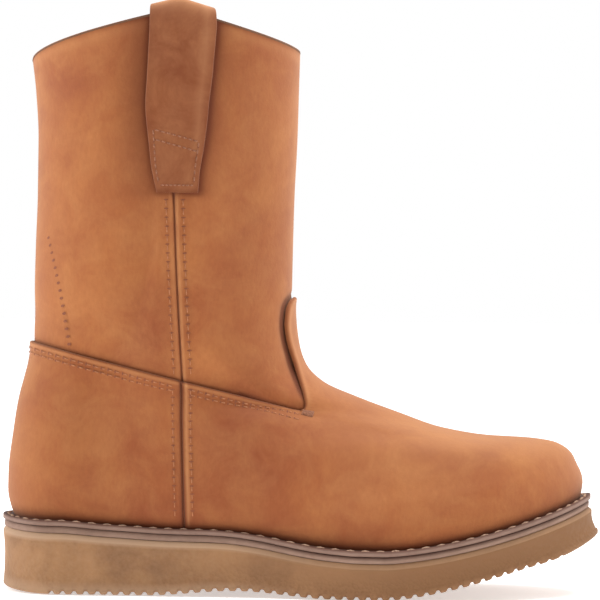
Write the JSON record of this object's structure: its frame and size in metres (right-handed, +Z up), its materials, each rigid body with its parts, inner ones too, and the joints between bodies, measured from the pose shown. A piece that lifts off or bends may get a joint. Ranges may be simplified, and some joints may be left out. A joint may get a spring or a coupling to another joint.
{
  "type": "wedge sole work boot",
  "caption": "Pull-on work boot for the right foot: hollow leather shaft and foot, vamp with tongue, heel counter, pull straps, stitched welt and ribbed rubber wedge sole.",
  "frame": {"origin": "on the floor, at the middle of the boot's bounding box", "axes": "+X to the toe, +Y to the inner side of the right foot, +Z up"},
  "size_m": [0.3046, 0.112, 0.2965],
  "materials": {
    "wedge_rubber": "matt tan crepe rubber, lighter bevel along its top edge",
    "midsole_rubber": "dark brown rubber layer",
    "welt_leather": "grey-brown smooth welt with a thick stitch",
    "footbed": "plain cushioned insole cover",
    "shaft_leather": "oiled nubuck, mottled rust brown",
    "foot_leather": "oiled nubuck, mottled rust brown",
    "strap_leather": "oiled nubuck, darker brown"
  },
  "bodies": {
    "root": {"outsole": "wedge_rubber", "midsole": "midsole_rubber", "welt": "welt_leather", "insole": "footbed", "upper": "shaft_leather", "vamp": "foot_leather", "counter": "foot_leather", "pull_strap_outer": "strap_leather", "pull_strap_inner": "strap_leather"}
  },
  "joints": []
}
